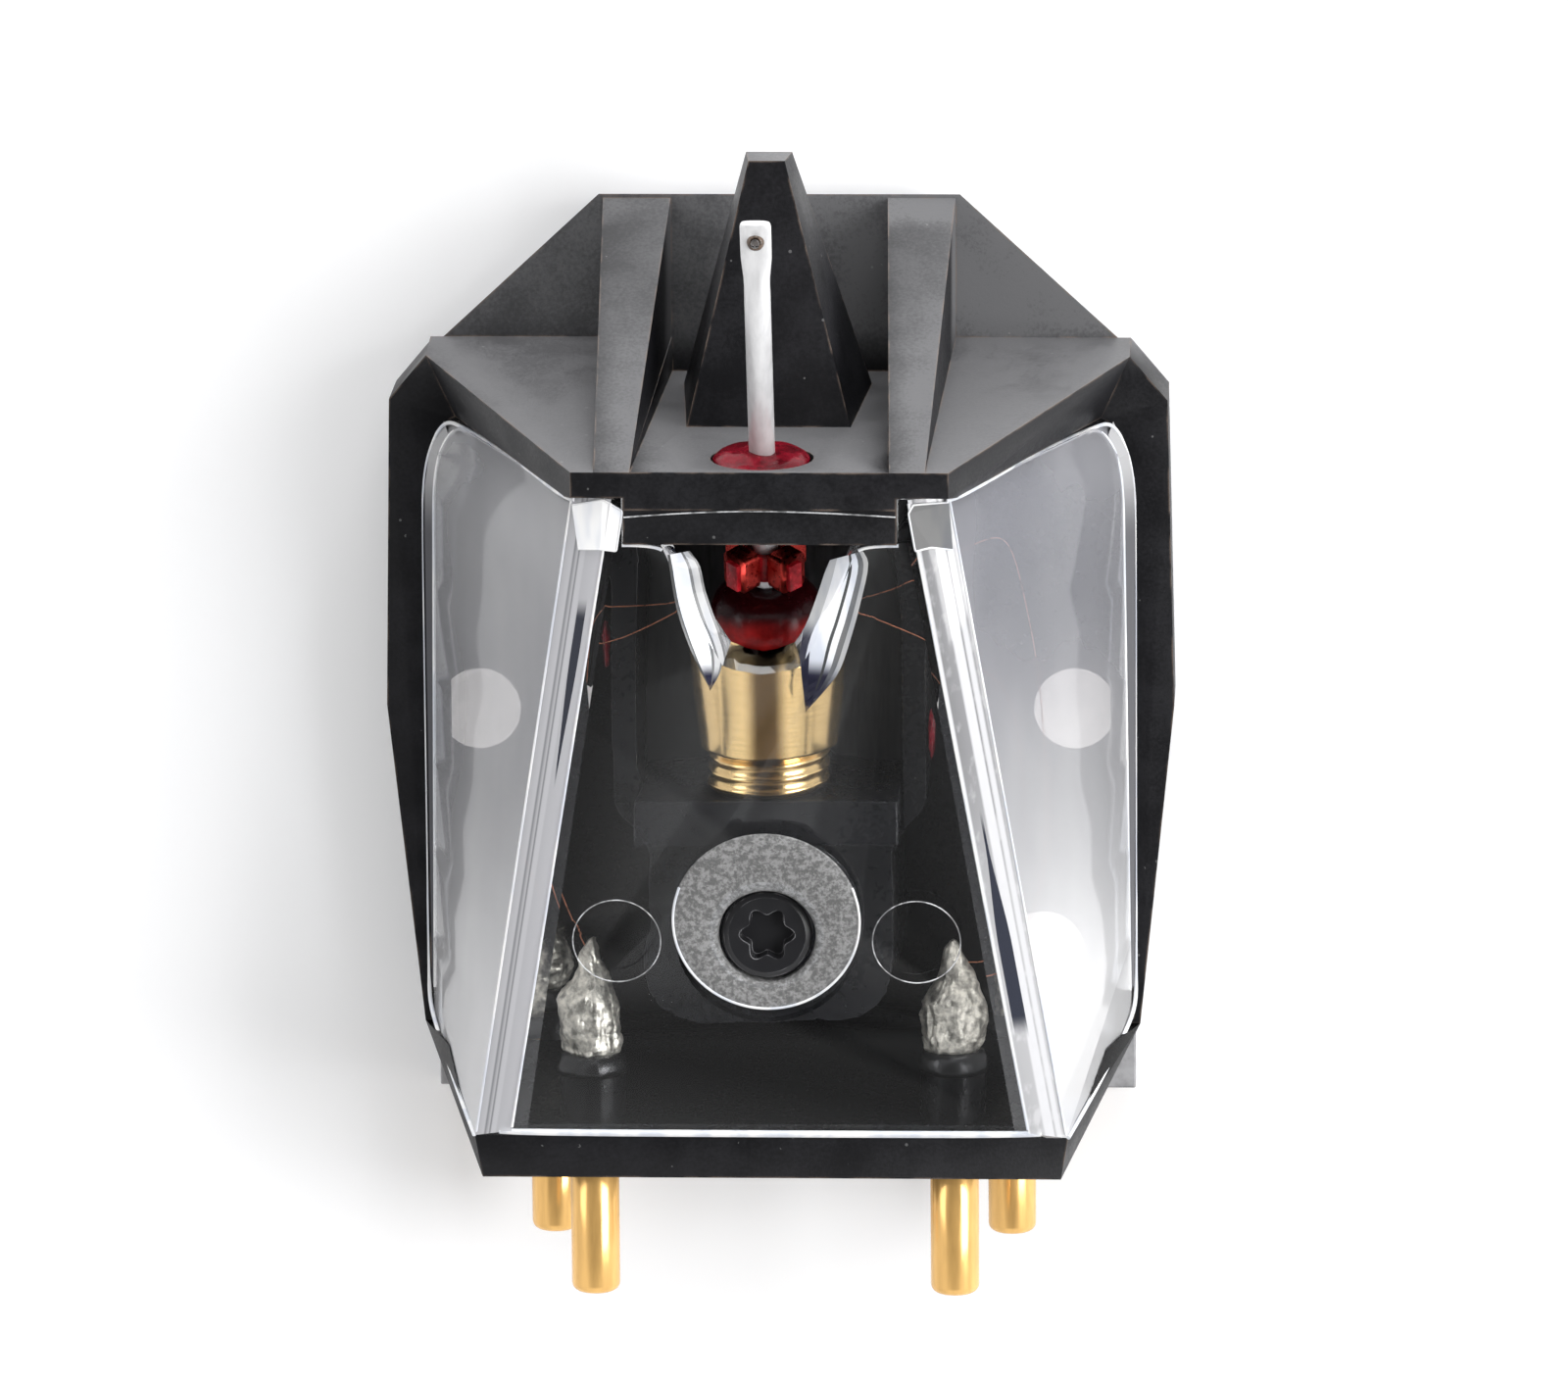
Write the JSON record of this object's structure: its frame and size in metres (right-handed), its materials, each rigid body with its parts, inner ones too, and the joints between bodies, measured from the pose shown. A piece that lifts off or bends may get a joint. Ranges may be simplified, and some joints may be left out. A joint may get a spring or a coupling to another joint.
{
  "type": "moving coil phono cartridge",
  "caption": "Moving coil phono cartridge: black tub and buttressed front, faceted clear cover over the generator, leaning cantilever and gold pins.",
  "frame": {"origin": "on the mounting face, midway between the two mounting screw holes", "axes": "+X to the right, +Y towards the stylus end, +Z from the mounting face towards the record"},
  "size_m": [0.0204, 0.0296, 0.0138],
  "materials": {
    "black_plastic": "moulded satin black",
    "plate_metal": "fine matt grey",
    "insert_brass": "turned",
    "clear_acrylic": "polished and clear",
    "screw_black": "blackened",
    "seal_rubber": "glossy red",
    "frame_plastic": "smooth black",
    "magnet_iron": "dark ground metal",
    "pole_iron": "ground and coated",
    "barrel_brass": "turned and gilded",
    "damper_rubber": "soft and glossy",
    "pin_gold": "gilded and polished",
    "solder_alloy": "melted",
    "lead_copper": "lacquered fine wire",
    "tack_lacquer": "dried drops",
    "tie_steel": "drawn wire",
    "former_lacquer": "lacquered",
    "coil_copper": "fine winding under lacquer",
    "tube_aluminium": "drawn tube",
    "tip_diamond": "polished point",
    "bond_lacquer": "cured glue"
  },
  "bodies": {
    "cartridge_body": {"body_shell": "black_plastic", "mounting_plate": "plate_metal", "insert_left": "insert_brass", "insert_right": "insert_brass", "clear_cover": "clear_acrylic", "cover_screw": "screw_black", "front_seal": "seal_rubber", "generator_frame": "frame_plastic", "magnet": "magnet_iron", "front_pole_piece": "pole_iron", "rear_pole_piece": "pole_iron", "suspension_barrel": "barrel_brass", "damper_ring": "damper_rubber", "pin_near_left": "pin_gold", "pin_near_right": "pin_gold", "pin_far_left": "pin_gold", "pin_far_right": "pin_gold", "solder_near_left": "solder_alloy", "solder_near_right": "solder_alloy", "solder_far_left": "solder_alloy", "solder_far_right": "solder_alloy", "lead_near_left": "lead_copper", "lead_near_right": "lead_copper", "lead_far_left": "lead_copper", "lead_far_right": "lead_copper", "varnish_tack_left": "tack_lacquer", "varnish_tack_right": "tack_lacquer"},
    "suspension": {"tie_wire": "tie_steel"},
    "moving_system": {"coil_former": "former_lacquer", "coil_upper_right": "coil_copper", "coil_upper_left": "coil_copper", "coil_lower_left": "coil_copper", "coil_lower_right": "coil_copper", "cantilever_tube": "tube_aluminium", "stylus_tip": "tip_diamond", "stylus_bond": "bond_lacquer"}
  },
  "joints": [
    {"name": "cantilever_lift", "type": "hinge", "parent": "cartridge_body", "child": "suspension", "pos_m": [0, -0.0005, 0.00968], "axis": [1, 0, 0], "range_deg": [-3, 3], "stiffness_Nm_per_rad": 0.006, "deforming": ["front_seal"]},
    {"name": "cantilever_swing", "type": "hinge", "parent": "suspension", "child": "moving_system", "pos_m": [0, -0.0005, 0.00968], "axis": [0, -0.3502, 0.9367], "range_deg": [-3, 3], "stiffness_Nm_per_rad": 0.006}
  ]
}
